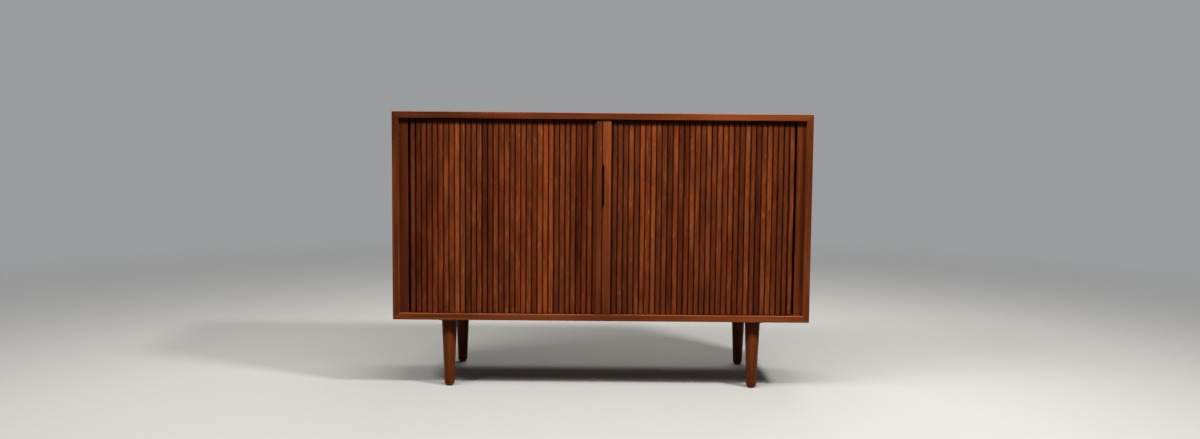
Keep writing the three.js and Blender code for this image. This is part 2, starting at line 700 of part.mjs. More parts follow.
// Each shelf lies on four pins, two in the divider and two in the inner side.
function buildShelfPins() {
  const group = new THREE.Group();
  const recesses = { front: PIN_FRONT_RECESS, rear: PIN_REAR_RECESS };
  for (const [side, sign] of [["left", -1], ["right", 1]]) {
    const walls = { inner: [sign * DIVIDER_THICKNESS / 2, sign], outer: [sign * LINER_INNER_X, -sign] };
    for (const [wall, [faceX, away]] of Object.entries(walls)) {
      for (const [depth, recess] of Object.entries(recesses)) {
        const pin = place(group, `${side}_shelf_pin_${wall}_${depth}`, shelfPin(), brass,
          [faceX, fromFront(recess), SHELF_PIN_Z]);
        pin.rotation.y = away * Math.PI / 2;
      }
    }
  }
  return group;
}

function buildDoors() {
  const group = new THREE.Group();
  for (let i = 0; i < SECTIONS_PER_DOOR; i += 1) {
    const number = String(i + 1).padStart(2, "0");
    const firstSlat = Math.round(i * SLATS_PER_DOOR / SECTIONS_PER_DOOR);
    const nextSlat = Math.round((i + 1) * SLATS_PER_DOOR / SECTIONS_PER_DOOR);
    const section = tambourSection(firstSlat, nextSlat - firstSlat);
    placePair(group, `tambour_section_${number}`, toGeometry(section), walnutSlats);
  }
  const rightLead = cut(leadStile(LEAD_OUTER_X), [fingerPull()]);
  const leftProudX = LEAD_INNER_X + LEFT_LEAD_PROUD_WIDTH;
  place(group, "right_lead_stile", toGeometry(rightLead), walnutLeads);
  place(group, "left_lead_stile", mirroredX(toGeometry(leadStile(leftProudX))), walnutLeads);
  return group;
}

function buildLegs() {
  const group = new THREE.Group();
  const y = { front: FRONT_Y + LEG_INSET, rear: CASE_DEPTH / 2 - LEG_INSET };
  for (const [end, legY] of Object.entries(y)) {
    for (const [side, sign] of [["left", -1], ["right", 1]]) {
      const corner = new THREE.Group();
      corner.position.set(sign * LEG_SPREAD / 2, legY, 0);
      place(corner, `${end}_${side}_leg`, leg(), walnutLegs);
      place(corner, `${end}_${side}_leg_plate`, toGeometry(legPlate()), blackSteel);
      place(corner, `${end}_${side}_glide`, glide(), darkPlastic);
      group.add(corner);
    }
  }
  return group;
}

cabinet.add(buildCase(), buildInside(), buildShelfPins(), buildDoors(), buildLegs());

export default cabinet;
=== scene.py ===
import math
import random

import bmesh
import bpy
from mathutils import Matrix, Vector


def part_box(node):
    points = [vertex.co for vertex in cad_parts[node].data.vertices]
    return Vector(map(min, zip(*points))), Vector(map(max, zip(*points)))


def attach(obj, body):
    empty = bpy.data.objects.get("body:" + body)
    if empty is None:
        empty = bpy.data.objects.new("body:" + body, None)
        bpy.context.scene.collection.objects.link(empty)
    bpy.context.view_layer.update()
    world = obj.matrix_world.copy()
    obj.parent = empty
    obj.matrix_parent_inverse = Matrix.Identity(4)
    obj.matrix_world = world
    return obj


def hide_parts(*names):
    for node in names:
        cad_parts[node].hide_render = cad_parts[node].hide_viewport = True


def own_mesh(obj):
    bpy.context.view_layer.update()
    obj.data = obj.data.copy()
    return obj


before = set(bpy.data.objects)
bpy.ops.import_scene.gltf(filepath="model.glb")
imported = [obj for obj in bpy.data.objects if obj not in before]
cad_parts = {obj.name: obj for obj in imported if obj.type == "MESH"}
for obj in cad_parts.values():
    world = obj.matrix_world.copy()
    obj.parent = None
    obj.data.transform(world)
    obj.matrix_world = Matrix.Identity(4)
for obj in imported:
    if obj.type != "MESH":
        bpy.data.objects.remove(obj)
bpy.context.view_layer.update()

# The case, in metres, as the cabinet is built
MM = 0.001
CASE_LOW, CASE_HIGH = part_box("bottom_panel")[0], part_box("top_panel")[1]
FRONT_Y = CASE_LOW.y
INSIDE_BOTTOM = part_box("bottom_panel")[1].z
BOARD = INSIDE_BOTTOM - CASE_LOW.z
INSIDE_TOP = CASE_HIGH.z - BOARD
SEAT_GAP = 0.3 * MM

# The doors' slats, and how far single ones stray from the common place and rounding
SLATS_PER_DOOR = 33
SLAT_PITCH = 15.4 * MM
SLAT_WIDTH = 15.0 * MM
SLAT_PROUD = 5 * MM
SLAT_BEHIND = 4 * MM
SLAT_ROUNDING = 4.2 * MM
SLAT_CROWN = 0.3 * MM
SLAT_END_GAP = 1 * MM
SLAT_STRAY = 0.12 * MM
ROUNDING_STRAY = 0.7 * MM
FIRST_SLAT_X = 27 * MM
TONGUE_THICKNESS = 6 * MM
CANVAS_THICKNESS = 0.8 * MM
CANVAS_END_MARGIN = 4 * MM
STILE_EASING = 0.5 * MM

# The track that the slats run in, and where the curtain gathers when a door is open
TRACK_Y = FRONT_Y + 14.5 * MM
TRACK_ARC_X = 518.5 * MM
TRACK_RADIUS = 40 * MM

# Turned pieces
LEG_TOP_RADIUS = 21.5 * MM
LEG_FOOT_RADIUS = 14 * MM
LEG_RIM = 1.4 * MM
GLIDE_RIM = 1.5 * MM
PIN_NOSE = 1 * MM

# Points that lie nearer than this are one, and an edge that turns by more than this is sharp
WELD = 0.01 * MM
SHARP_ANGLE = math.radians(32)

SECTION_NODES = {
    side: [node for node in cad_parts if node.startswith(side + "_tambour_section")]
    for side in ("left", "right")}

# A slat's tone takes after the last one's by the likeness, and strays by the spread. The left door's slats
# were ripped one after another and stay more alike, and the right door's come mixed. The seed sets which of
# them are dark and which are pale
DOORS = {
    "left": {
        "sign": -1, "seed": 43598, "likeness": 0.4, "spread": 0.055,
        "stile": {"offset": 13.1, "drift": -0.36, "shade": 0.07}},
    "right": {
        "sign": 1, "seed": 22105, "likeness": 0.0, "spread": 0.07,
        "stile": {"offset": 14.9, "drift": 0.25, "shade": -0.1}},
}


# Helpers

def linear(hex_colour):
    """An sRGB hex value such as "#8a5a34" as linear RGBA."""
    shares = [int(hex_colour[i:i + 2], 16) / 255 for i in (1, 3, 5)]
    return [s / 12.92 if s <= 0.04045 else ((s + 0.055) / 1.055) ** 2.4 for s in shares] + [1]


def grey(value):
    """A linear grey as RGBA."""
    return [value, value, value, 1]


def usable(sockets, key=0):
    """A node's socket by its name, or by its place among those in use."""
    found = [s for s in sockets if s.enabled and not s.is_unavailable]
    return found[key] if isinstance(key, int) else next(s for s in found if s.name == key)


def add(tree, kind, settings=None, links=None):
    """Adds a node. Settings are its properties, input values or ramp stops, and links feed its inputs."""
    made = tree.nodes.new(kind)
    for key, value in (settings or {}).items():
        if key == "stops":
            ramp = made.color_ramp.elements
            while len(ramp) < len(value):
                ramp.new(0.5)
            for element, (position, colour) in zip(ramp, value):
                element.position = position
                element.color = colour
        elif isinstance(key, str) and hasattr(made, key):
            setattr(made, key, value)
        else:
            usable(made.inputs, key).default_value = value
    for key, source in (links or {}).items():
        output = usable(source.outputs) if isinstance(source, bpy.types.Node) else source
        tree.links.new(output, usable(made.inputs, key))
    return made


def new_material(name):
    """An empty material, its node tree and its surface shader."""
    material = bpy.data.materials.new(name)
    material.use_nodes = True
    tree = material.node_tree
    tree.nodes.clear()
    shader = tree.nodes.new("ShaderNodeBsdfPrincipled")
    output = tree.nodes.new("ShaderNodeOutputMaterial")
    tree.links.new(shader.outputs["BSDF"], output.inputs["Surface"])
    return material, tree, shader


# The wood

# Four tones of each wood: its dark bands, its middle, its light bands, and the paler colour of an edge,
# where the finish is rubbed thin and a highlight is painted on
CASE_TONES = ["#3f1b07", "#693216", "#934f24", "#a5623c"]
SLAT_TONES = ["#341304", "#612f15", "#98532a", "#a8623c"]
STILE_TONES = ["#3f1c0a", "#6e3618", "#985329", "#a5623c"]
POST_TONES = ["#361704", "#59280d", "#7c3c1b", "#8a4a2a"]
LEG_TONES = ["#45210c", "#693312", "#854725", "#90502a"]
LINING_TONES = ["#5a341c", "#7c4f2d", "#98683d", "#a5744a"]
PLYWOOD_TONES = ["#916b48", "#ab845b", "#c19b6f", "#c9a87c"]

# Widths of one sheet of veneer, which is the mirror image of the next
CASE_LEAF = 135 * MM
LINING_LEAF = 160 * MM
PLYWOOD_LEAF = 410 * MM

# How far along the log each slat's figure lies from the last one's, and how much redder a slat may be
FIGURE_STEP = 3.7
WARMTH_SPREAD = 0.4

# Settings of a node that lays a tint over a colour
TINT = {"data_type": "RGBA", "blend_type": "MULTIPLY"}


def nearest_edge(tree, place, low, high):
    """How far a point on a box-shaped piece lies from the piece's nearest edge."""
    split = add(tree, "ShaderNodeSeparateXYZ", {}, {0: place})
    sides = []
    for value, lowest, highest in zip(split.outputs, low, high):
        from_low = add(tree, "ShaderNodeMath", {"operation": "SUBTRACT", 1: lowest}, {0: value})
        from_high = add(tree, "ShaderNodeMath", {"operation": "SUBTRACT", 0: highest}, {1: value})
        sides.append(add(tree, "ShaderNodeMath", {"operation": "MINIMUM"}, {0: from_low, 1: from_high}))
    first = add(tree, "ShaderNodeMath", {"operation": "ADD"}, {0: sides[0], 1: sides[1]})
    total = add(tree, "ShaderNodeMath", {"operation": "ADD"}, {0: first, 1: sides[2]})
    larger = add(tree, "ShaderNodeMath", {"operation": "MAXIMUM"}, {0: sides[0], 1: sides[1]})
    largest = add(tree, "ShaderNodeMath", {"operation": "MAXIMUM"}, {0: larger, 1: sides[2]})
    return add(tree, "ShaderNodeMath", {"operation": "SUBTRACT"}, {0: total, 1: largest})


def patches(tree, grain, width_mm, length_mm, detail=3, distortion=0.0):
    """Noise in patches of about this width across the grain and this length along it."""
    scale = (1 / (width_mm * MM), 1 / (width_mm * MM), 1 / (length_mm * MM))
    stretched = add(tree, "ShaderNodeVectorMath", {"operation": "MULTIPLY", 1: scale}, {0: grain})
    settings = {"Scale": 1, "Detail": detail, "Roughness": 0.55, "Distortion": distortion}
    return add(tree, "ShaderNodeTexNoise", settings, {"Vector": stretched}).outputs[0]


def arches(tree, grain, across, along):
    """Nested arches, where the knife cut through the growth rings at a low angle."""
    half_width, height, waver = 26 * MM, 95 * MM, 5.0
    squared = add(tree, "ShaderNodeMath", {"operation": "POWER", 1: 2}, {0: across})
    bow = add(tree, "ShaderNodeMath", {"operation": "MULTIPLY", 1: 1 / half_width ** 2}, {0: squared})
    climb = add(tree, "ShaderNodeMath", {"operation": "MULTIPLY_ADD", 1: 1 / height}, {0: along, 2: bow})
    drawn = patches(tree, grain, 60, 300, distortion=0.3)
    turned = add(tree, "ShaderNodeMath", {"operation": "MULTIPLY_ADD", 1: waver}, {0: drawn, 2: climb})
    ring = add(tree, "ShaderNodeMath", {"operation": "SINE"}, {0: turned})
    return add(tree, "ShaderNodeMath", {"operation": "MULTIPLY_ADD", 1: 0.5, 2: 0.5}, {0: ring})


def weighed(tree, layers, middle):
    """The sum of weighted layers round a middle value. Each layer lies about one half."""
    start = middle - sum(weight for _, weight in layers) / 2
    total = None
    for layer, weight in layers:
        settings = {"operation": "MULTIPLY_ADD", 1: weight, 2: start}
        total = add(tree, "ShaderNodeMath", settings, {0: layer, 2: total} if total else {0: layer})
    return total


def with_painted_shade_at_front_end(tree, colour, deep, stained_to):
    """A board whose front end is darkened to some depth. This is painted shade inside the cabinet, where the
    board shows through the gap beside a closed door and through its pull."""
    end = {"From Min": stained_to + 3 * MM, "From Max": stained_to}
    # Painted shade over the front end, from the front back to the given place in Y
    stained = add(tree, "ShaderNodeMapRange", end, {0: deep})
    return add(tree, "ShaderNodeMix", {**TINT, "B": [0.3, 0.2, 0.14, 1]}, {"Factor": stained, "A": colour})


def with_red_patches(tree, colour, grain, ruddy, slat):
    """Wood that turns redder and yellower in patches, and from slat to slat."""
    redder = patches(tree, grain, 10, 50)
    contrast = {"operation": "MULTIPLY_ADD", 1: 3.2 * ruddy, 2: -1.15 * ruddy}
    turned = add(tree, "ShaderNodeMath", contrast, {0: redder})
    red = [1, 0.76, 0.64, 1]
    if slat:
        warmth = add(tree, "ShaderNodeAttribute", {"attribute_name": "slat_warmth"}).outputs["Fac"]
        turned = add(tree, "ShaderNodeMath", {"operation": "ADD"}, {0: turned, 1: warmth})
        red = [1, 0.7, 0.5, 1]
    return add(tree, "ShaderNodeMix", {**TINT, "B": red}, {"Factor": turned, "A": colour})


def with_painted_shade_in_grooves_and_ends(tree, colour, height):
    """Slats darkened in their grooves and at both ends: painted shade in the grooves between the slats, a
    painted shadow under the top board, and painted shade at their feet.
    """
    groove = add(tree, "ShaderNodeAttribute", {"attribute_name": "slat_groove"}).outputs["Fac"]
    side = {"interpolation_type": "SMOOTHSTEP", "From Min": 0.15, "From Max": 0.95}
    in_groove = add(tree, "ShaderNodeMapRange", side, {0: groove})
    top = {"From Min": INSIDE_TOP - 22 * MM, "From Max": INSIDE_TOP - 13 * MM, "To Max": 0.8}
    at_top = add(tree, "ShaderNodeMapRange", top, {0: height})
    foot = {"From Min": INSIDE_BOTTOM + 7 * MM, "From Max": INSIDE_BOTTOM + 1 * MM, "To Max": 0.5}
    at_foot = add(tree, "ShaderNodeMapRange", foot, {0: height})
    at_ends = add(tree, "ShaderNodeMath", {"operation": "MAXIMUM"}, {0: at_top, 1: at_foot})
    # The grooves, the tops under the top board and the feet are darkened together as painted shade
    painted_shade = add(tree, "ShaderNodeMath", {"operation": "MAXIMUM"}, {0: in_groove, 1: at_ends})
    return add(tree, "ShaderNodeMix", {**TINT, "B": [0.3, 0.15, 0.06, 1]}, {"Factor": painted_shade, "A": colour})


def with_pale_flecks(tree, colour, grain, strength):
    """Wood with a pale fleck here and there, where the grain dips under the surface."""
    dips = patches(tree, grain, 7, 32, detail=2)
    fleck = add(
        tree, "ShaderNodeMapRange", {"From Min": 0.62, "From Max": 0.74, "To Max": strength}, {0: dips})
    return add(tree, "ShaderNodeMix", {**TINT, "B": [1.9, 2.1, 1.9, 1]}, {"Factor": fleck, "A": colour})


def with_pale_edges_of_wear_and_highlight(tree, colour, place, clouds, box, pale):
    """Wood that shows paler along a piece's edges in a ragged line: partly where the finish is rubbed thin,
    and partly as a painted highlight where light catches the rounded edge.
    """
    fray = {"operation": "MULTIPLY_ADD", 1: -2.4 * MM}
    frayed = add(tree, "ShaderNodeMath", fray, {0: clouds, 2: nearest_edge(tree, place, *box)})
    rubbed = {"From Min": 0.1 * MM, "From Max": -0.8 * MM, "To Max": 0.75}
    # The edge is painted paler, both as wear and as a highlight on the rounded edge
    wear_and_highlight = add(tree, "ShaderNodeMapRange", rubbed, {0: frayed})
    bare = {"data_type": "RGBA", "blend_type": "MIX", "B": linear(pale)}
    return add(tree, "ShaderNodeMix", bare, {"Factor": wear_and_highlight, "A": colour})


def with_handled_edge(tree, colour, across):
    """Wood that fingers have left dark along the edge where the doors meet."""
    from_middle = add(tree, "ShaderNodeMath", {"operation": "ABSOLUTE"}, {0: across})
    grime = add(tree, "ShaderNodeMapRange", {"From Min": 3.5 * MM, "From Max": 1 * MM}, {0: from_middle})
    return add(tree, "ShaderNodeMix", {**TINT, "B": [0.5, 0.4, 0.32, 1]}, {"Factor": grime, "A": colour})


def wood(
    name, tones, axes, offset=0, leaf=0, drift=0, shade=0, roughness=0.42, ruddy=1, flecks=0, box=None,
    slat=False, stained_to=None, handled=False,
):
    """Wood with its bands, finer streaks and open pores, all drawn out along the grain.

    axes names the axes that lie across the board, through it and along its grain, and offset moves its
    figure, so that no two boards are alike. A leaf is the width of one sheet of veneer. drift makes the
    board lighter along its grain, by so much a metre, and shade makes the whole of it lighter or darker.
    ruddy and flecks are how strongly the redder patches and the pale flecks show. box is the piece's box,
    along whose edges the wood shows paler, partly as finish rubbed thin and partly as a painted highlight.
    A slat's points hold its own tone, warmth, figure and grooves, and its grooves and ends are darkened as
    painted shade. A front end may be darkened as painted shade up to a given place in Y, and handled wood
    is dark where the doors meet."""
    material, tree, shader = new_material(name)
    place = add(tree, "ShaderNodeTexCoord").outputs["Object"]
    split = add(tree, "ShaderNodeSeparateXYZ", {}, {0: place})
    across, deep, length = (split.outputs[axis] for axis in axes)
    along = length
    if leaf:
        across = add(tree, "ShaderNodeMath", {"operation": "PINGPONG", 1: leaf}, {0: across})
    if slat:
        shift = add(tree, "ShaderNodeAttribute", {"attribute_name": "slat_shift"}).outputs["Fac"]
        deep = add(tree, "ShaderNodeMath", {"operation": "ADD"}, {0: deep, 1: shift})
        along = add(tree, "ShaderNodeMath", {"operation": "ADD"}, {0: along, 1: shift})
    deep = add(tree, "ShaderNodeMath", {"operation": "ADD", 1: offset}, {0: deep})
    along = add(tree, "ShaderNodeMath", {"operation": "ADD", 1: offset}, {0: along})
    grain = add(tree, "ShaderNodeCombineXYZ", {}, {0: across, 1: deep, 2: along})
    streaks = patches(tree, grain, 2.4, 160, detail=4)
    clouds = patches(tree, grain, 40, 200)
    pores = patches(tree, grain, 0.55, 11, detail=1)

    # The tone of each point, from the broad bands down to the streaks
    if slat:
        own_tone = add(tree, "ShaderNodeAttribute", {"attribute_name": "slat_tone"}).outputs["Fac"]
        layers = [
            (streaks, 0.42), (clouds, 0.3), (patches(tree, grain, 20, 110), 0.5),
            (patches(tree, grain, 5, 30, detail=2), 0.22), (own_tone, 1)]
    else:
        layers = [(streaks, 0.42), (clouds, 0.4), (patches(tree, grain, 9, 420, distortion=0.5), 0.55)]
    if leaf:
        layers.append((arches(tree, grain, across, along), 0.12))
    if drift:
        layers.append((add(tree, "ShaderNodeMath", {"operation": "ADD", 1: 0.5}, {0: length}), drift))
    tone = weighed(tree, layers, 0.5 + shade)

    # Its colour, with what wear and handling have done to it, and with the painted shade and painted
    # highlights laid on it
    stops = [(0.2, linear(tones[0])), (0.5, linear(tones[1])), (0.8, linear(tones[2]))]
    colour = add(tree, "ShaderNodeValToRGB", {"stops": stops}, {0: tone}).outputs["Color"]
    # A front end darkened as painted shade, where the inside shows through a gap
    if stained_to is not None:
        colour = with_painted_shade_at_front_end(tree, colour, split.outputs["Y"], stained_to)
    colour = with_red_patches(tree, colour, grain, ruddy, slat)
    # Painted shade in the slats' grooves and at their feet, and a painted shadow at their tops
    if slat:
        colour = with_painted_shade_in_grooves_and_ends(tree, colour, length)
    if flecks:
        colour = with_pale_flecks(tree, colour, grain, flecks)
    pits = add(tree, "ShaderNodeMapRange", {"From Min": 0.36, "From Max": 0.27}, {0: pores})
    colour = add(tree, "ShaderNodeMix", {**TINT, "B": grey(0.5)}, {"Factor": pits, "A": colour})
    # Paler edges: finish rubbed thin, with a painted highlight on the rounded edge
    if box:
        colour = with_pale_edges_of_wear_and_highlight(tree, colour, place, clouds, box, tones[3])
    if handled:
        colour = with_handled_edge(tree, colour, split.outputs["X"])
    tree.links.new(usable(colour.outputs), shader.inputs["Base Color"])

    # Its sheen, which is faint because the finish has sunk in, and its open pores
    gloss = {"From Min": 0.3, "From Max": 0.7, "To Min": roughness - 0.06, "To Max": roughness + 0.08}
    rough = add(tree, "ShaderNodeMapRange", gloss, {0: streaks})
    tree.links.new(rough.outputs[0], shader.inputs["Roughness"])
    shader.inputs["Specular IOR Level"].default_value = 0.08
    relief = add(tree, "ShaderNodeMath", {"operation": "MULTIPLY_ADD", 1: -0.6}, {0: pits, 2: streaks})
    bump = add(tree, "ShaderNodeBump", {"Strength": 0.35, "Distance": 0.15 * MM}, {"Height": relief})
    tree.links.new(bump.outputs[0], shader.inputs["Normal"])
    return material


def oiled_walnut(piece, tones, axes, **figure):
    """Oiled walnut. The heartwood's bands, the finer streaks within them and the dark open pores all run
    along the grain, and the oil leaves a low sheen that the pores break."""
    return wood("oiled walnut, " + piece, tones, axes, **figure)


def matt_walnut_veneer(piece, axes, **figure):
    """Walnut veneer that was sanded and never oiled, so it stays paler and duller than the case. Its leaves
    are book-matched, so that the figure mirrors from one to the next."""
    name = "matt walnut veneer, " + piece
    return wood(name, LINING_TONES, axes, leaf=LINING_LEAF, roughness=0.55, **figure)


def sanded_plywood(piece):
    """Sanded plywood, unfinished. Its rotary-cut face has broad pale figure and a dry, fuzzy surface."""
    name = "sanded plywood, " + piece
    return wood(name, PLYWOOD_TONES, "ZYX", offset=3.1, leaf=PLYWOOD_LEAF, roughness=0.72, ruddy=0.3)


# Other materials

def mottled(name, tones, patch_mm, speckle_mm, relief_mm, roughness, metallic=0.0):
    """A finish whose colour drifts between two tones in soft patches, over a fine relief that its roughness
    follows. speckle_mm is the size of the relief's speckles along X, Y and Z."""
    material, tree, shader = new_material(name)
    place = add(tree, "ShaderNodeTexCoord").outputs["Object"]
    clouds = add(tree, "ShaderNodeTexNoise", {"Scale": 1 / (patch_mm * MM), "Detail": 3}, {"Vector": place})
    stops = [(0.38, linear(tones[0])), (0.66, linear(tones[1]))]
    colour = add(tree, "ShaderNodeValToRGB", {"stops": stops}, {0: clouds.outputs[0]})
    tree.links.new(colour.outputs[0], shader.inputs["Base Color"])
    drawn = add(tree, "ShaderNodeMapping", {"Scale": [1 / (s * MM) for s in speckle_mm]}, {"Vector": place})
    relief = add(tree, "ShaderNodeTexNoise", {"Scale": 1, "Detail": 2}, {"Vector": drawn}).outputs[0]
    gloss = {"From Min": 0.3, "From Max": 0.7, "To Min": roughness[0], "To Max": roughness[1]}
    rough = add(tree, "ShaderNodeMapRange", gloss, {0: relief})
    tree.links.new(rough.outputs[0], shader.inputs["Roughness"])
    shader.inputs["Metallic"].default_value = metallic
    bump = add(tree, "ShaderNodeBump", {"Strength": 0.3, "Distance": relief_mm * MM}, {"Height": relief})
    tree.links.new(bump.outputs[0], shader.inputs["Normal"])
    return material


def black_lacquer(name):
    """Black lacquered pressed steel. Dipped lacquer dries with a faint orange peel, so its soft gloss
    wavers, and dust greys it in patches."""
    return mottled(
        name, ["#171310", "#2c2622"], patch_mm=18, speckle_mm=(2.5, 2.5, 2.5), relief_mm=0.05,
        roughness=(0.34, 0.5))


def blackened_screw_steel(name):
    """Oil-blackened steel screws. The oxide is thin, so some bare metal glints through."""
    return mottled(
        name, ["#2a2725", "#4c4743"], patch_mm=2.5, speckle_mm=(0.8, 0.8, 0.8), relief_mm=0.03,
        roughness=(0.36, 0.55), metallic=0.8)


def turned_brass(name):
    """Turned brass, dull with age. The tool left fine rings, and hands left brown tarnish in patches."""
    return mottled(
        name, ["#8a6a34", "#c9a45c"], patch_mm=4, speckle_mm=(0.5, 9, 9), relief_mm=0.03,
        roughness=(0.22, 0.42), metallic=1)


def moulded_nylon(name):
    """Black moulded nylon. The mould's fine texture keeps it matt, and the floor's scuffs show greyer."""
    return mottled(
        name, ["#15110f", "#37302c"], patch_mm=3, speckle_mm=(0.4, 0.4, 0.4), relief_mm=0.05,
        roughness=(0.4, 0.62))


def dried_glue(name):
    """Old hide glue that holds dust and wax. It shows as a thin dark line where two boards meet."""
    return mottled(
        name, ["#1c0c05", "#33180b"], patch_mm=5, speckle_mm=(0.6, 0.6, 0.6), relief_mm=0.05,
        roughness=(0.5, 0.7))


def cotton_canvas(name):
    """Cotton canvas in a plain weave, browned and stiff with old glue. Its threads are drawn 1.4 mm apart,
    coarser than the real 0.7 mm, so that the weave shows."""
    thread_spacing, stain_size, relief = 1.4 * MM, 60 * MM, 0.3 * MM
    material, tree, shader = new_material(name)
    place = add(tree, "ShaderNodeTexCoord").outputs["Object"]
    split = add(tree, "ShaderNodeSeparateXYZ", {}, {0: place})
    threads = []
    for axis in ("X", "Z"):
        pace = {"operation": "MULTIPLY", 1: math.tau / thread_spacing}
        turns = add(tree, "ShaderNodeMath", pace, {0: split.outputs[axis]})
        threads.append(add(tree, "ShaderNodeMath", {"operation": "SINE"}, {0: turns}))
    weave = add(tree, "ShaderNodeMath", {"operation": "MULTIPLY"}, {0: threads[0], 1: threads[1]})
    stains = add(tree, "ShaderNodeTexNoise", {"Scale": 1 / stain_size, "Detail": 3}, {"Vector": place})
    stops = [(0.3, linear("#665238")), (0.7, linear("#8b7657"))]
    colour = add(tree, "ShaderNodeValToRGB", {"stops": stops}, {0: stains.outputs[0]})
    tree.links.new(colour.outputs[0], shader.inputs["Base Color"])
    shader.inputs["Roughness"].default_value = 0.9
    bump = add(tree, "ShaderNodeBump", {"Strength": 0.6, "Distance": relief}, {"Height": weave})
    tree.links.new(bump.outputs[0], shader.inputs["Normal"])
    return material


# Making pieces

def finish_piece(bm, name, material, body="case", replaced=()):
    """Writes a bmesh to an object at the origin that rides on a body and may stand for CAD nodes."""
    bmesh.ops.recalc_face_normals(bm, faces=bm.faces)
    mesh = bpy.data.meshes.new(name)
    bm.to_mesh(mesh)
    bm.free()
    mesh.shade_smooth()
    mesh.set_sharp_from_angle(angle=SHARP_ANGLE)
    mesh.materials.append(material)
    piece = bpy.data.objects.new(name, mesh)
    bpy.context.scene.collection.objects.link(piece)
    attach(piece, body)
    if replaced:
        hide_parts(*replaced)
    return piece


def dress_cad(node, material):
    """Gives a part that keeps its own shape its finished surface."""
    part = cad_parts[node]
    part.data.materials.clear()
    part.data.materials.append(material)


def nodes_ending(words):
    """The CAD nodes whose names end with some words."""
    return [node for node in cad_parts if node.endswith(words)]


def pour(part, whole):
    """Adds one bmesh to another and frees it."""
    mesh = bpy.data.meshes.new("part")
    part.to_mesh(mesh)
    part.free()
    whole.from_mesh(mesh)
    bpy.data.meshes.remove(mesh)


def boxed(bm, x, y, z):
    """A box between two values on each axis. Returns its points."""
    made = bmesh.ops.create_cube(bm, size=1)["verts"]
    bmesh.ops.scale(bm, vec=(x[1] - x[0], y[1] - y[0], z[1] - z[0]), verts=made)
    bmesh.ops.translate(bm, vec=((x[0] + x[1]) / 2, (y[0] + y[1]) / 2, (z[0] + z[1]) / 2), verts=made)
    return made


def edges_between(bm, keep):
    """The edges whose two ends both pass a test."""
    return [edge for edge in bm.edges if all(keep(vert.co) for vert in edge.verts)]


def mirrored(bm):
    """Turns a right-hand piece into a left-hand one."""
    bmesh.ops.scale(bm, vec=(-1, 1, 1), verts=bm.verts)
    bmesh.ops.reverse_faces(bm, faces=bm.faces)


def turned_piece(profile, bevels, steps=64):
    """A profile of (radius, height) points turned about Z, with the rims at some heights rounded over."""
    bm = bmesh.new()
    verts = [bm.verts.new((radius, 0, height)) for radius, height in profile]
    edges = [bm.edges.new(pair) for pair in zip(verts, verts[1:])]
    bmesh.ops.spin(
        bm, geom=verts + edges, cent=(0, 0, 0), axis=(0, 0, 1), dvec=(0, 0, 0), angle=math.tau, steps=steps,
        use_merge=True, use_duplicate=False)
    bmesh.ops.remove_doubles(bm, verts=bm.verts, dist=WELD)
    for height, radius in bevels:
        rim = edges_between(bm, lambda co: abs(co.z - height) < WELD and co.xy.length > WELD)
        bmesh.ops.bevel(bm, geom=rim, offset=radius, segments=4, profile=0.5, affect="EDGES", material=-1)
    return bm


# Doors

def on_track(distance):
    """A place on the right door's track, in x and y, and the track's angle there. The corner is an arc."""
    beyond = distance - TRACK_ARC_X
    if beyond <= 0:
        return distance, TRACK_Y, 0.0
    angle = beyond / TRACK_RADIUS
    x = TRACK_ARC_X + TRACK_RADIUS * math.sin(angle)
    return x, TRACK_Y + TRACK_RADIUS * (1 - math.cos(angle)), angle


def one_slat(distance, rounding):
    """One slat with its two tongues, in its place on the right door's track. Its points hold how deep they
    lie in the groove beside it."""
    bm = bmesh.new()
    half = SLAT_WIDTH / 2
    low, high = INSIDE_BOTTOM + SLAT_END_GAP, INSIDE_TOP - SLAT_END_GAP
    boxed(bm, (-half, half), (-SLAT_PROUD, SLAT_BEHIND), (low, high))
    front = edges_between(bm, lambda co: co.y < -SLAT_PROUD / 2)
    upright = [edge for edge in front if abs(edge.verts[0].co.z - edge.verts[1].co.z) > half]
    bmesh.ops.bevel(bm, geom=upright, offset=rounding, segments=6, profile=0.5, affect="EDGES", material=-1)
    whole = bm.verts[:] + bm.edges[:] + bm.faces[:]
    bmesh.ops.bisect_plane(bm, geom=whole, plane_co=(0, 0, 0), plane_no=(1, 0, 0))
    for vert in bm.verts:
        if abs(vert.co.x) < WELD and vert.co.y < 0:
            vert.co.y -= SLAT_CROWN
    section_low, section_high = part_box(SECTION_NODES["right"][0])
    for ends in ((section_low.z, low), (high, section_high.z)):
        boxed(bm, (-half, half), (-TONGUE_THICKNESS / 2, TONGUE_THICKNESS / 2), ends)
    depth = bm.verts.layers.float.new("slat_groove")
    for vert in bm.verts:
        from_flat = max(0.0, abs(vert.co.x) - half + rounding) / rounding
        vert[depth] = from_flat if vert.co.y < 0 else 1.0
    x, y, angle = on_track(distance)
    bmesh.ops.rotate(bm, cent=(0, 0, 0), matrix=Matrix.Rotation(angle, 3, "Z"), verts=bm.verts)
    bmesh.ops.translate(bm, vec=(x, y, 0), verts=bm.verts)
    return bm


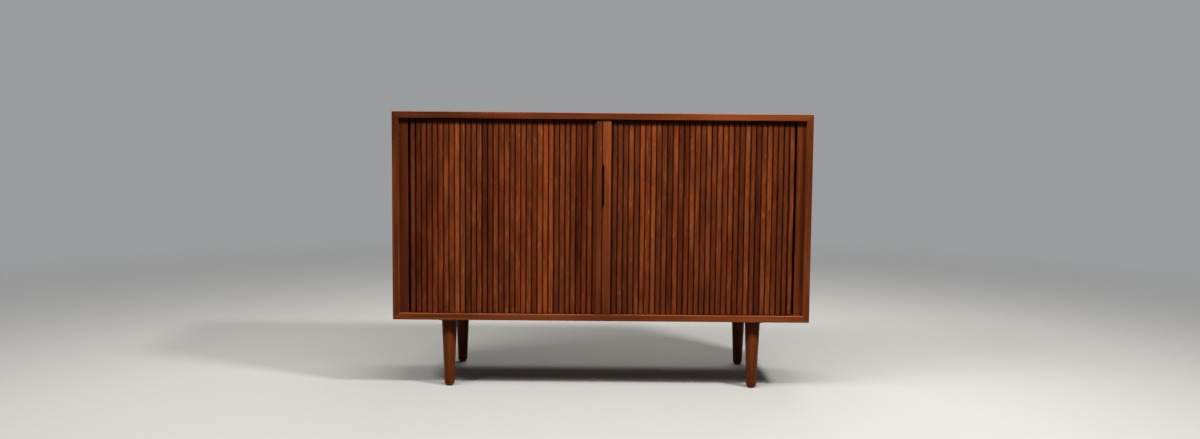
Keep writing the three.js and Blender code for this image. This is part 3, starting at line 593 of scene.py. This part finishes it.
def slats(side, material):
    """All the slats of one door, as one piece. Each has its own tone, warmth and figure."""
    likeness, spread = DOORS[side]["likeness"], DOORS[side]["spread"]
    chance = random.Random(DOORS[side]["seed"])
    curtain = bmesh.new()
    layers = [curtain.verts.layers.float.new(name) for name in ("slat_tone", "slat_warmth", "slat_shift")]
    curtain.verts.layers.float.new("slat_groove")
    tone = 0.0
    for i in range(SLATS_PER_DOOR):
        distance = FIRST_SLAT_X + (i + 0.5) * SLAT_PITCH + chance.uniform(-SLAT_STRAY, SLAT_STRAY)
        slat = one_slat(distance, SLAT_ROUNDING + chance.uniform(-ROUNDING_STRAY, ROUNDING_STRAY))
        if side == "left":
            mirrored(slat)
        tone = likeness * tone + chance.gauss(0.0, spread)
        values = (0.5 + tone, chance.uniform(-WARMTH_SPREAD, WARMTH_SPREAD), 1 + i * FIGURE_STEP)
        known = len(curtain.verts)
        pour(slat, curtain)
        curtain.verts.ensure_lookup_table()
        for vert in curtain.verts[known:]:
            for layer, value in zip(layers, values):
                vert[layer] = value
    return finish_piece(
        curtain, side + "_door_slats", material, replaced=SECTION_NODES[side])


def canvas(side, material):
    """The canvas that one door's slats are glued to: a strip that follows the track behind them."""
    bm = bmesh.new()
    low, high = INSIDE_BOTTOM + CANVAS_END_MARGIN, INSIDE_TOP - CANVAS_END_MARGIN
    columns = []
    for i in range(SLATS_PER_DOOR + 1):
        x, y, angle = on_track(FIRST_SLAT_X + i * SLAT_PITCH)
        columns.append(Vector((x - SLAT_BEHIND * math.sin(angle), y + SLAT_BEHIND * math.cos(angle), 0)))
    verts = [bm.verts.new(columns[0] + Vector((0, 0, z))) for z in (low, high)]
    edge = bm.edges.new(verts)
    for here, there in zip(columns, columns[1:]):
        made = bmesh.ops.extrude_edge_only(bm, edges=[edge])["geom"]
        moved = [g for g in made if isinstance(g, bmesh.types.BMVert)]
        bmesh.ops.translate(bm, vec=there - here, verts=moved)
        edge = next(g for g in made if isinstance(g, bmesh.types.BMEdge))
    bmesh.ops.recalc_face_normals(bm, faces=bm.faces)
    if bm.faces[:][0].normal.y < 0:
        bmesh.ops.reverse_faces(bm, faces=bm.faces)
    bmesh.ops.solidify(bm, geom=bm.faces, thickness=-CANVAS_THICKNESS)
    if side == "left":
        mirrored(bm)
    piece = finish_piece(bm, side + "_door_canvas", material)
    return piece


def eased_stile(side, material):
    """A door's lead stile, with its hard edges rounded over as sandpaper leaves them."""
    node = side + "_lead_stile"
    flat, hard = math.radians(1), math.radians(25)
    bm = bmesh.new()
    bm.from_mesh(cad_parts[node].data)
    bmesh.ops.remove_doubles(bm, verts=bm.verts, dist=WELD)
    bmesh.ops.dissolve_limit(bm, angle_limit=flat, verts=bm.verts, edges=bm.edges)
    arrises = [edge for edge in bm.edges if edge.calc_face_angle(0) > hard]
    bmesh.ops.bevel(
        bm, geom=arrises, offset=STILE_EASING, segments=3, profile=0.5, affect="EDGES", clamp_overlap=True,
        material=-1)
    bmesh.ops.triangulate(bm, faces=[face for face in bm.faces if len(face.verts) > 4])
    finish_piece(bm, node + "_eased", material, body=side + "_lead", replaced=[node])


# Turned pieces

def legs(material):
    """Four legs turned to a plain taper, with an eased rim at each end."""
    for node in nodes_ending("_leg"):
        low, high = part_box(node)
        profile = [(0, low.z), (LEG_FOOT_RADIUS, low.z), (LEG_TOP_RADIUS, high.z), (0, high.z)]
        bm = turned_piece(profile, bevels=((low.z, LEG_RIM), (high.z, LEG_RIM)))
        middle = (low + high) / 2
        bmesh.ops.translate(bm, vec=(middle.x, middle.y, 0), verts=bm.verts)
        finish_piece(bm, node + "_turned", material, replaced=[node])


def glides(material):
    """Four nylon glides, domed at the rim where they meet the floor. Their nails hide in the legs."""
    for node in nodes_ending("_glide"):
        low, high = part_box(node)
        radius = (high.x - low.x) / 2
        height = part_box(node.replace("glide", "leg"))[0].z - SEAT_GAP
        profile = [(0, 0), (radius, 0), (radius, height), (0, height)]
        bm = turned_piece(profile, bevels=((0, GLIDE_RIM),), steps=32)
        middle = (low + high) / 2
        bmesh.ops.translate(bm, vec=(middle.x, middle.y, 0), verts=bm.verts)
        finish_piece(bm, node + "_domed", material, replaced=[node])


def shelf_pins(material):
    """Turned brass pins. Each lies along X, with its rounded nose away from the wall."""
    for node in [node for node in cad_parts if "_shelf_pin_" in node]:
        low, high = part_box(node)
        half_length, radius = (high.x - low.x) / 2, (high.z - low.z) / 2
        profile = [(0, -half_length), (radius, -half_length), (radius, half_length), (0, half_length)]
        bm = turned_piece(profile, bevels=((half_length, PIN_NOSE),), steps=24)
        toward = 1 if ("inner" in node) == ("right" in node) else -1
        turn = Matrix.Rotation(toward * math.pi / 2, 3, "Y")
        bmesh.ops.rotate(bm, cent=(0, 0, 0), matrix=turn, verts=bm.verts)
        bmesh.ops.translate(bm, vec=(low + high) / 2, verts=bm.verts)
        finish_piece(bm, node + "_turned", material, replaced=[node])


# Screws and glue

def screw_head(bm, place, direction, radius):
    """A countersunk screw's flat head with a straight slot, facing along direction."""
    head = bmesh.new()
    thick, neck, slot = radius * 0.35, radius * 0.7, radius * 0.22
    slot_depth = thick * 0.6
    bmesh.ops.create_cone(head, cap_ends=True, segments=16, radius1=neck, radius2=radius, depth=thick)
    for side in (-1, 1):
        whole = head.verts[:] + head.edges[:] + head.faces[:]
        bmesh.ops.bisect_plane(head, geom=whole, plane_co=(side * slot / 2, 0, 0), plane_no=(1, 0, 0))
    strip = [f for f in head.faces if f.normal.z > 0.9 and abs(f.calc_center_median().x) < slot / 2]
    made = bmesh.ops.extrude_face_region(head, geom=strip)["geom"]
    floor = [g for g in made if isinstance(g, bmesh.types.BMVert)]
    bmesh.ops.translate(head, vec=(0, 0, -slot_depth), verts=floor)
    bmesh.ops.delete(head, geom=strip, context="FACES")
    # The driver left each slot at an angle of its own
    slot_angle = place[0] * 40 + place[1] * 70 + place[2] * 30
    turn = Vector((0, 0, 1)).rotation_difference(Vector(direction)).to_matrix()
    spun = Matrix.Rotation(slot_angle, 3, "Z")
    bmesh.ops.rotate(head, cent=(0, 0, 0), matrix=turn @ spun, verts=head.verts)
    bmesh.ops.translate(head, vec=place, verts=head.verts)
    pour(head, bm)


def plate_screws(material):
    """Four screws hold each leg plate to the case's bottom. Their heads stand just proud of the plate."""
    inset, depth, radius = 9 * MM, 3.2 * MM, 3.4 * MM
    bm = bmesh.new()
    for node in nodes_ending("_leg_plate"):
        low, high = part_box(node)
        for x in (low.x + inset, high.x - inset):
            for y in (low.y + inset, high.y - inset):
                screw_head(bm, (x, y, high.z - depth), (0, 0, -1), radius)
    finish_piece(bm, "leg_plate_screws", material)


def back_screws(material):
    """Screws round the back panel's edge, evenly spaced."""
    inset, spacing, radius = 6 * MM, 150 * MM, 3.2 * MM
    bm = bmesh.new()
    low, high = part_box("back_panel")
    across = round((high.x - low.x) / spacing)
    up = round((high.z - low.z) / spacing)
    places = {(i, j) for i in range(across + 1) for j in range(up + 1) if i in (0, across) or j in (0, up)}
    for i, j in sorted(places):
        x = low.x + inset + (high.x - low.x - 2 * inset) * i / across
        z = low.z + inset + (high.z - low.z - 2 * inset) * j / up
        screw_head(bm, (x, high.y, z), (0, 1, 0), radius)
    finish_piece(bm, "back_panel_screws", material)


def mitre_glue(material):
    """The glue line in each of the case's four mitres, a hair thinner than the joint and set back in it."""
    half_thick, end_gap, front_gap, back_gap = 0.14 * MM, 1.6 * MM, 0.5 * MM, 1 * MM
    bm = bmesh.new()
    half_length = BOARD / math.sqrt(2) - end_gap
    half_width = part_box("right_side_panel")[1].x
    depth = (FRONT_Y + front_gap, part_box("back_panel")[0].y - back_gap)
    for side in (-1, 1):
        for z, lean in ((CASE_HIGH.z - BOARD / 2, -side), (CASE_LOW.z + BOARD / 2, side)):
            made = boxed(bm, (-half_length, half_length), depth, (-half_thick, half_thick))
            turn = Matrix.Rotation(lean * math.pi / 4, 3, "Y")
            bmesh.ops.rotate(bm, cent=(0, 0, 0), matrix=turn, verts=made)
            bmesh.ops.translate(bm, vec=(side * (half_width - BOARD / 2), 0, z), verts=made)
    finish_piece(bm, "mitre_glue_lines", material)


# The cabinet

def build_case():
    """The mitred case with its posts and back. Each row gives a board's tones, the way its grain runs, its
    veneer, and its figure's offset, drift and shade."""
    for node, tones, axes, leaf, offset, drift, shade in (
        ("top_panel", CASE_TONES, "YZX", CASE_LEAF, 7.3, 0.28, 0.02),
        ("bottom_panel", CASE_TONES, "YZX", CASE_LEAF, 3.1, 0.11, 0.095),
        ("left_side_panel", CASE_TONES, "YXZ", CASE_LEAF, 2.9, -0.24, -0.015),
        ("right_side_panel", CASE_TONES, "YXZ", CASE_LEAF, 4.3, 0, -0.02),
        ("left_corner_post", POST_TONES, "XYZ", 0, 5.1, 0, -0.07),
        ("right_corner_post", POST_TONES, "XYZ", 0, 6.2, 0, 0.04),
    ):
        dress_cad(node, oiled_walnut(
            node.replace("_", " "), tones, axes, offset=offset, leaf=leaf, drift=drift, shade=shade,
            box=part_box(node)))
    dress_cad("back_panel", sanded_plywood("back panel"))
    mitre_glue(dried_glue("dried glue, mitres"))


def build_inside():
    """The lining, the divider and the shelves, with how far back each one's front end is darkened as painted
    shade.
    """
    for node, axes, offset, shade_depth in (
        ("left_inner_side", "YXZ", 5.55, 14 * MM),
        ("right_inner_side", "YXZ", 5.92, 14 * MM),
        ("centre_divider", "YXZ", 5.18, 1 * MM),
        ("inner_back", "XYZ", 3.7, 0),
        ("left_shelf", "YZX", 3.7, 0),
        ("right_shelf", "YZX", 4.07, 0),
    ):
        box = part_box(node)
        # Each front end is darkened as painted shade, from the front back to this depth
        stained_to = box[0].y + shade_depth if shade_depth else None
        dress_cad(node, matt_walnut_veneer(
            node.replace("_", " "), axes, offset=offset, box=box, stained_to=stained_to))


def build_doors():
    """Both doors: each door's slats, the canvas behind them, and its eased lead stile."""
    slat_wood = oiled_walnut("slats", SLAT_TONES, "XYZ", roughness=0.46, flecks=0.8, slat=True)
    weave = cotton_canvas("cotton canvas, backing")
    for side, door in DOORS.items():
        for piece in (slats(side, slat_wood), canvas(side, weave)):
            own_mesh(piece)
        eased_stile(side, oiled_walnut(
            side + " stile", STILE_TONES, "XYZ", flecks=0.6, box=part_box(side + "_lead_stile"), handled=True,
            **door["stile"]))


def build_legs():
    """The legs, with the glides under them and the plates that they screw onto."""
    legs(oiled_walnut("legs", LEG_TONES, "XYZ", offset=9.3, roughness=0.4))
    glides(moulded_nylon("moulded nylon, glides"))
    lacquer = black_lacquer("black lacquered steel, plates")
    for node in nodes_ending("_leg_plate"):
        dress_cad(node, lacquer)


def build_fittings():
    """The screws that show, and the pins that carry the shelves."""
    screws = blackened_screw_steel("blackened steel, screws")
    plate_screws(screws)
    back_screws(screws)
    shelf_pins(turned_brass("turned brass, shelf pins"))


# The stage: a plain pale floor, soft lamps and the camera

# The floor's colour as it is seen, and the darker one with which it lights the cabinet
FLOOR_COLOUR = "#b3b1ac"
FLOOR_BOUNCE = "#4d4944"

# Half the floor's width, and where it starts and ends its fade into the background, in metres
FLOOR_REACH = 30
FLOOR_FADE_START, FLOOR_FADE_END = 0.9, 4.2

# The background's colour, and the strength of the light that it gives all round
BACKGROUND = "#9b9c9d"
FILL = 0.09


def seen(tree):
    """One where a surface is looked at or shows in a gloss, and nothing where it only lights others."""
    path = add(tree, "ShaderNodeLightPath").outputs
    looks = {0: path["Is Camera Ray"], 1: path["Is Glossy Ray"]}
    eye = add(tree, "ShaderNodeMath", {"operation": "MAXIMUM"}, looks)
    return add(tree, "ShaderNodeMath", {"operation": "MAXIMUM"}, {0: eye, 1: path["Is Transmission Ray"]})


def floor_paint():
    """Matt paint, rolled on, so it has no gloss. The floor keeps the cabinet's shadow and runs out into the
    background's tone."""
    material, tree, shader = new_material("matt paint, floor")
    looked_at = seen(tree)
    pale = {"data_type": "RGBA", "A": linear(FLOOR_BOUNCE), "B": linear(FLOOR_COLOUR)}
    colour = add(tree, "ShaderNodeMix", pale, {"Factor": looked_at})
    tree.links.new(usable(colour.outputs), shader.inputs["Base Color"])
    shader.inputs["Roughness"].default_value = 0.9
    place = add(tree, "ShaderNodeTexCoord").outputs["Object"]
    away = add(tree, "ShaderNodeVectorMath", {"operation": "LENGTH"}, {0: place}).outputs["Value"]
    fade = {"interpolation_type": "SMOOTHSTEP", "From Min": FLOOR_FADE_START, "From Max": FLOOR_FADE_END}
    far = add(tree, "ShaderNodeMapRange", fade, {0: away})
    shown = add(tree, "ShaderNodeMath", {"operation": "MULTIPLY"}, {0: far, 1: looked_at})
    glow = add(tree, "ShaderNodeEmission", {"Color": linear(BACKGROUND), "Strength": 1})
    both = add(tree, "ShaderNodeMixShader", {}, {0: shown, 1: shader, 2: glow})
    output = next(node for node in tree.nodes if node.type == "OUTPUT_MATERIAL")
    tree.links.new(both.outputs[0], output.inputs["Surface"])
    return material


def build_floor():
    """A flat floor under the cabinet's feet."""
    bm = bmesh.new()
    bmesh.ops.create_grid(bm, x_segments=1, y_segments=1, size=FLOOR_REACH)
    mesh = bpy.data.meshes.new("floor")
    bm.to_mesh(mesh)
    bm.free()
    mesh.materials.append(floor_paint())
    floor = bpy.data.objects.new("floor", mesh)
    bpy.context.scene.collection.objects.link(floor)


def lamp(name, place, target, size, power):
    """A soft rectangular lamp that faces a target. Its power is in watts."""
    data = bpy.data.lights.new(name, "AREA")
    data.shape = "RECTANGLE"
    data.size, data.size_y = size
    data.energy = power
    made = bpy.data.objects.new(name, data)
    made.location = place
    made.rotation_euler = (Vector(target) - Vector(place)).to_track_quat("-Z", "Y").to_euler()
    bpy.context.scene.collection.objects.link(made)


def build_light():
    """Three softboxes in a row, high in front, a weaker one behind, and a faint fill from all round."""
    row_y, height = -1.43, 2.8
    front, back = (0, FRONT_Y, 0.45), (0, CASE_HIGH.y, 0.5)
    lamp("softbox right", (1.75, row_y, height), front, (0.5, 0.3), 99)
    lamp("softbox middle", (0, row_y, height), front, (1.8, 0.3), 40)
    lamp("softbox left", (-2.0, row_y, height), front, (1.8, 0.3), 72)
    lamp("softbox behind", (0.5, 1.75, height), back, (2.4, 0.8), 45)
    world = bpy.data.worlds.new("studio")
    world.use_nodes = True
    bpy.context.scene.world = world
    tree = world.node_tree
    tree.nodes.clear()
    fill = add(tree, "ShaderNodeBackground", {"Color": grey(1), "Strength": FILL})
    shown = add(tree, "ShaderNodeBackground", {"Color": linear(BACKGROUND), "Strength": 1})
    both = add(tree, "ShaderNodeMixShader", {}, {0: seen(tree), 1: fill, 2: shown})
    add(tree, "ShaderNodeOutputWorld", {}, {"Surface": both})


def build_camera():
    """The photograph's view, fitted to the case's edges and feet: eye height just under the top, a little
    left of the middle."""
    place = Vector((-16.1, -3438.7, 765.0)) * MM
    yaw, pitch, roll = (math.radians(angle) for angle in (0.188, 5.027, 0.515))
    ahead = Vector((math.sin(yaw) * math.cos(pitch), math.cos(yaw) * math.cos(pitch), -math.sin(pitch)))
    level = Vector((math.cos(yaw), -math.sin(yaw), 0))
    upright = level.cross(ahead)
    right = math.cos(roll) * level + math.sin(roll) * upright
    up = math.cos(roll) * upright - math.sin(roll) * level
    data = bpy.data.cameras.new("camera")
    data.sensor_width = 36
    data.lens = 35
    camera = bpy.data.objects.new("camera", data)
    turn = Matrix((right, up, -ahead)).transposed().to_4x4()
    camera.matrix_world = Matrix.Translation(place) @ turn
    bpy.context.scene.collection.objects.link(camera)
    bpy.context.scene.camera = camera


build_camera()
build_case()
build_inside()
build_doors()
build_legs()
build_fittings()
build_floor()
build_light()
bpy.context.scene.view_settings.view_transform = "Standard"
